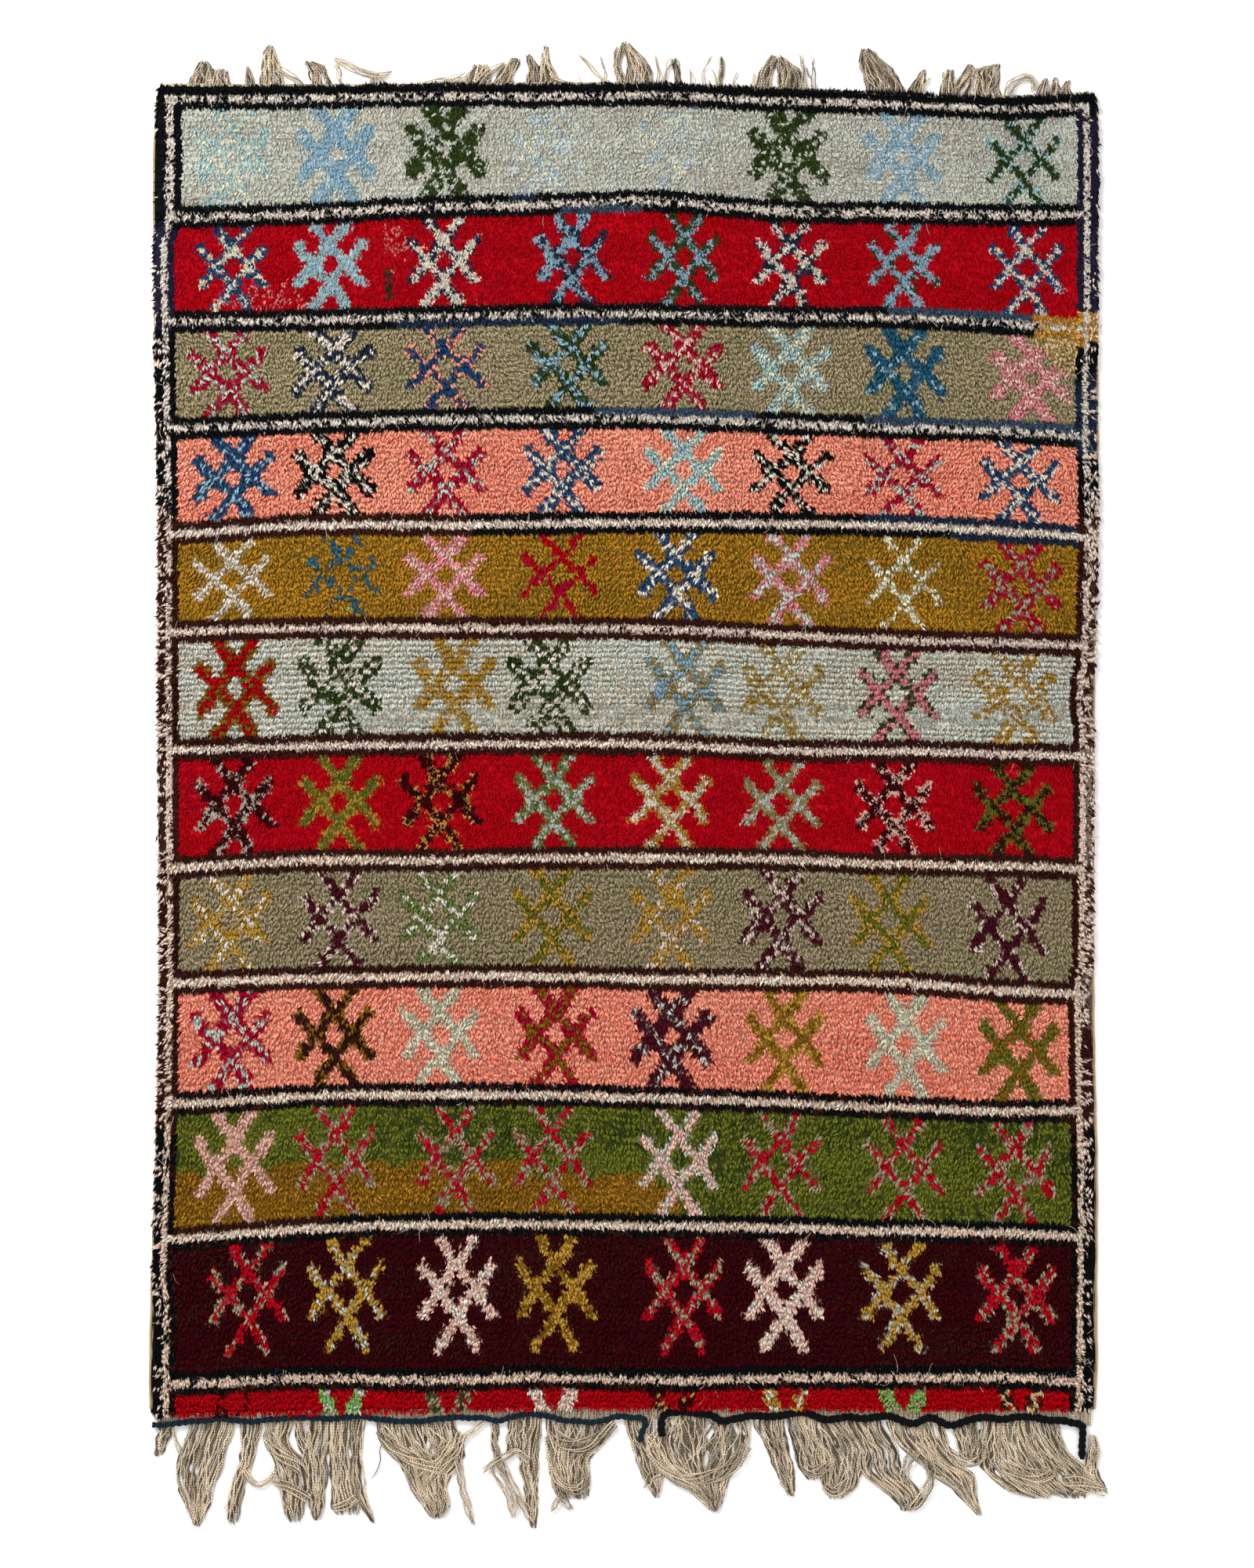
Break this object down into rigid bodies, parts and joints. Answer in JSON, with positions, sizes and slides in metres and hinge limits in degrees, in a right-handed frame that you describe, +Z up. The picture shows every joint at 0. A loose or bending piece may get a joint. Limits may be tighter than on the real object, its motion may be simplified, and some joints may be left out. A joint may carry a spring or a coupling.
{
  "type": "knotted star rug",
  "caption": "Flat rectangular pile rug with bands of star motifs, a long warp fringe at the near end and a short one at the far end.",
  "frame": {"origin": "middle of the whole footprint, fringes included, on the floor", "axes": "+Z up out of the pile, +Y towards the far end with the short fringe, +X to the right when looked at from above with the far end away"},
  "size_m": [1.5218, 2.3626, 0.0143],
  "materials": {
    "wool_pile": "dense matt yarn pile in bands of pale grey-blue, red, taupe, salmon, mustard, olive and maroon with two-colour star motifs",
    "warp_yarn": "undyed beige twisted warp yarn",
    "navy_yarn": "two-ply navy yarn, twined",
    "black_yarn": "two-ply black yarn, twined"
  },
  "bodies": {
    "root": {"rug": "wool_pile", "fringe_bottom": "warp_yarn", "fringe_top": "warp_yarn", "end_cord_navy": "navy_yarn", "end_cord_black": "black_yarn"}
  },
  "joints": []
}
